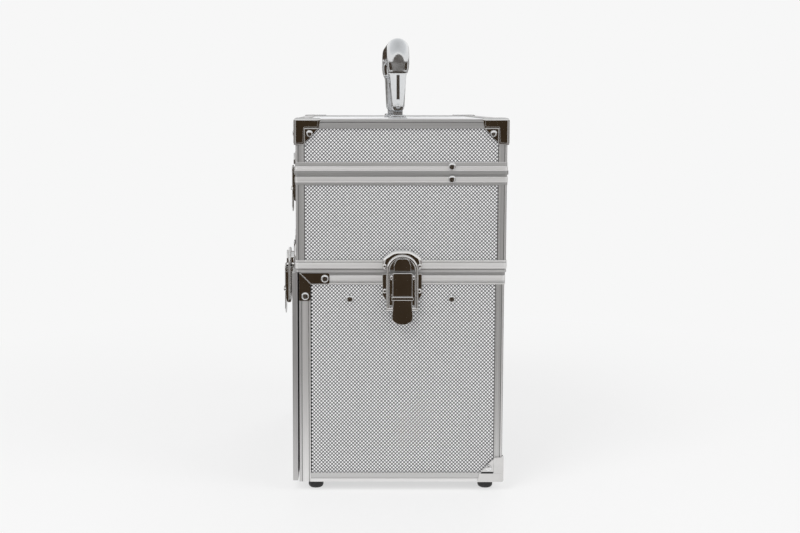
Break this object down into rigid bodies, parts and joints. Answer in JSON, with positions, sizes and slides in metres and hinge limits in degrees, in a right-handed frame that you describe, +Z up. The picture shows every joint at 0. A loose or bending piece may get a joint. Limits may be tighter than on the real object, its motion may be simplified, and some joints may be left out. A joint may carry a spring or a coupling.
{
  "type": "makeup train case",
  "caption": "Two-tier aluminium makeup train case: drop-front lower box with drawer, lift-off upper case with cantilever trays, rear-hinged lid with folding handle and draw latches.",
  "frame": {"origin": "middle of the overall box on the surface that the feet stand on", "axes": "+X along the case towards its right end, -Y is the front with the door, +Z up"},
  "size_m": [0.3788, 0.2406, 0.4826],
  "materials": {
    "satin_aluminium": "satin",
    "faced_board": "embossed silver facing",
    "lined_board": "black lining on board",
    "chrome_plate": "polished",
    "bright_steel": "bright",
    "black_rubber": "matt",
    "tray_plastic": "matt black",
    "drawer_board": "matt black",
    "foam_lining": "black foam"
  },
  "bodies": {
    "lower_box": {"lower_side_panels": "faced_board", "lower_back_panel": "faced_board", "lower_floor_panel": "lined_board", "lower_rim_rail": "satin_aluminium", "lower_base_rail": "satin_aluminium", "lower_posts": "satin_aluminium", "lower_corner_caps": "chrome_plate", "rim_brackets": "chrome_plate", "rubber_feet": "black_rubber", "drawer_runners": "bright_steel", "lower_rivets": "bright_steel", "side_latch_bases": "chrome_plate", "door_hinge_box_leaf": "bright_steel"},
    "door": {"door_panel": "faced_board", "door_frame": "satin_aluminium", "door_hinge_door_leaf": "bright_steel", "door_latch_bases": "chrome_plate"},
    "drawer": {"drawer_box": "drawer_board", "drawer_pull": "chrome_plate"},
    "upper_case": {"upper_wall_panels": "faced_board", "upper_floor_panel": "lined_board", "upper_top_rail": "satin_aluminium", "upper_bottom_rail": "satin_aluminium", "upper_posts": "satin_aluminium", "upper_rivets": "bright_steel", "upper_latch_catches": "chrome_plate", "lid_latch_base": "chrome_plate", "lid_hinge_lower_leaves": "bright_steel", "tray_pivot_studs": "bright_steel"},
    "lid": {"lid_top_panel": "faced_board", "lid_wall_panels": "faced_board", "lid_top_rail": "satin_aluminium", "lid_bottom_rail": "satin_aluminium", "lid_posts": "satin_aluminium", "lid_corner_caps": "chrome_plate", "lid_rivets": "bright_steel", "lid_hinge_upper_leaves": "bright_steel", "lid_latch_catch": "chrome_plate", "lid_lining": "foam_lining", "handle_brackets": "chrome_plate"},
    "handle": {"handle": "chrome_plate"},
    "stay_base_links": {"stay_base_links": "bright_steel"},
    "stay_lid_links": {"stay_lid_links": "bright_steel"},
    "tray_front_arms": {"tray_front_arms": "bright_steel"},
    "tray_rear_arms": {"tray_rear_arms": "bright_steel"},
    "lower_tray": {"lower_tray": "tray_plastic", "lower_tray_dividers": "tray_plastic"},
    "upper_tray": {"upper_tray": "tray_plastic", "upper_tray_dividers": "tray_plastic"},
    "left_side_lever": {"left_side_lever": "chrome_plate"},
    "left_side_bail": {"left_side_bail": "chrome_plate"},
    "right_side_lever": {"right_side_lever": "chrome_plate"},
    "right_side_bail": {"right_side_bail": "chrome_plate"},
    "left_door_lever": {"left_door_lever": "chrome_plate"},
    "left_door_bail": {"left_door_bail": "chrome_plate"},
    "right_door_lever": {"right_door_lever": "chrome_plate"},
    "right_door_bail": {"right_door_bail": "chrome_plate"},
    "lid_lever": {"lid_lever": "chrome_plate"},
    "lid_bail": {"lid_bail": "chrome_plate"}
  },
  "joints": [
    {"name": "door_drop", "type": "hinge", "parent": "lower_box", "child": "door", "pos_m": [0, -0.1023, 0.0115], "axis": [1, 0, 0], "range_deg": [0, 85]},
    {"name": "drawer_slide", "type": "slide", "parent": "lower_box", "child": "drawer", "axis": [0, -1, 0], "range_m": [0, 0.13]},
    {"name": "upper_case_lift", "type": "slide", "parent": "lower_box", "child": "upper_case", "axis": [0, 0, 1], "range_m": [0, 0.15]},
    {"name": "lid_hinge", "type": "hinge", "parent": "upper_case", "child": "lid", "pos_m": [0, 0.1181, 0.3365], "axis": [-1, 0, 0], "range_deg": [0, 100]},
    {"name": "handle_fold", "type": "hinge", "parent": "lid", "child": "handle", "pos_m": [0, 0.0046, 0.4071], "axis": [1, 0, 0], "range_deg": [-88, 88]},
    {"name": "stay_base_fold", "type": "hinge", "parent": "upper_case", "child": "stay_base_links", "pos_m": [0, 0.0571, 0.3319], "axis": [-1, 0, 0], "range_deg": [0, 126.8]},
    {"name": "stay_lid_fold", "type": "hinge", "parent": "lid", "child": "stay_lid_links", "pos_m": [0, 0.0571, 0.3451], "axis": [1, 0, 0], "range_deg": [0, 123.4]},
    {"name": "front_arm_swing", "type": "hinge", "parent": "upper_case", "child": "tray_front_arms", "pos_m": [0, -0.05602, 0.2514], "axis": [1, 0, 0], "range_deg": [0, 75]},
    {"name": "rear_arm_swing", "type": "hinge", "parent": "upper_case", "child": "tray_rear_arms", "pos_m": [0, -0.02102, 0.2514], "axis": [1, 0, 0], "range_deg": [0, 75]},
    {"name": "lower_tray_level", "type": "hinge", "parent": "tray_front_arms", "child": "lower_tray", "pos_m": [0, 0.0046, 0.2864], "axis": [-1, 0, 0], "range_deg": [0, 75]},
    {"name": "upper_tray_level", "type": "hinge", "parent": "tray_front_arms", "child": "upper_tray", "pos_m": [0, 0.06522, 0.3214], "axis": [-1, 0, 0], "range_deg": [0, 75]},
    {"name": "left_side_lever_swing", "type": "hinge", "parent": "lower_box", "child": "left_side_lever", "pos_m": [-0.185, 0.00585, 0.2305], "axis": [0, 1, 0], "range_deg": [0, 90]},
    {"name": "left_side_bail_swing", "type": "hinge", "parent": "left_side_lever", "child": "left_side_bail", "pos_m": [-0.183, 0.00585, 0.1965], "axis": [0, -1, 0], "range_deg": [0, 135]},
    {"name": "right_side_lever_swing", "type": "hinge", "parent": "lower_box", "child": "right_side_lever", "pos_m": [0.185, 0.00585, 0.2305], "axis": [0, -1, 0], "range_deg": [0, 90]},
    {"name": "right_side_bail_swing", "type": "hinge", "parent": "right_side_lever", "child": "right_side_bail", "pos_m": [0.183, 0.00585, 0.1965], "axis": [0, 1, 0], "range_deg": [0, 135]},
    {"name": "left_door_lever_swing", "type": "hinge", "parent": "door", "child": "left_door_lever", "pos_m": [-0.1125, -0.1159, 0.2305], "axis": [-1, 0, 0], "range_deg": [0, 90]},
    {"name": "left_door_bail_swing", "type": "hinge", "parent": "left_door_lever", "child": "left_door_bail", "pos_m": [-0.1125, -0.1139, 0.1965], "axis": [1, 0, 0], "range_deg": [0, 135]},
    {"name": "right_door_lever_swing", "type": "hinge", "parent": "door", "child": "right_door_lever", "pos_m": [0.1125, -0.1159, 0.2305], "axis": [-1, 0, 0], "range_deg": [0, 90]},
    {"name": "right_door_bail_swing", "type": "hinge", "parent": "right_door_lever", "child": "right_door_bail", "pos_m": [0.1125, -0.1139, 0.1965], "axis": [1, 0, 0], "range_deg": [0, 135]},
    {"name": "lid_lever_swing", "type": "hinge", "parent": "upper_case", "child": "lid_lever", "pos_m": [0, -0.1129, 0.3325], "axis": [-1, 0, 0], "range_deg": [0, 90]},
    {"name": "lid_bail_swing", "type": "hinge", "parent": "lid_lever", "child": "lid_bail", "pos_m": [0, -0.1109, 0.2985], "axis": [1, 0, 0], "range_deg": [0, 135]}
  ],
  "couplings": [
    {"joint": "drawer_slide", "follows": "door_drop", "m_per_rad": 0.087},
    {"joint": "stay_base_fold", "follows": "lid_hinge", "ratio": 1.2632},
    {"joint": "stay_lid_fold", "follows": "lid_hinge", "ratio": 1.2288},
    {"joint": "front_arm_swing", "follows": "lid_hinge", "ratio": 0.75},
    {"joint": "rear_arm_swing", "follows": "lid_hinge", "ratio": 0.75},
    {"joint": "lower_tray_level", "follows": "lid_hinge", "ratio": 0.75},
    {"joint": "upper_tray_level", "follows": "lid_hinge", "ratio": 0.75},
    {"joint": "left_side_bail_swing", "follows": "left_side_lever_swing", "ratio": 1.5},
    {"joint": "right_side_bail_swing", "follows": "right_side_lever_swing", "ratio": 1.5},
    {"joint": "left_door_bail_swing", "follows": "left_door_lever_swing", "ratio": 1.5},
    {"joint": "right_door_bail_swing", "follows": "right_door_lever_swing", "ratio": 1.5},
    {"joint": "lid_bail_swing", "follows": "lid_lever_swing", "ratio": 1.5}
  ]
}
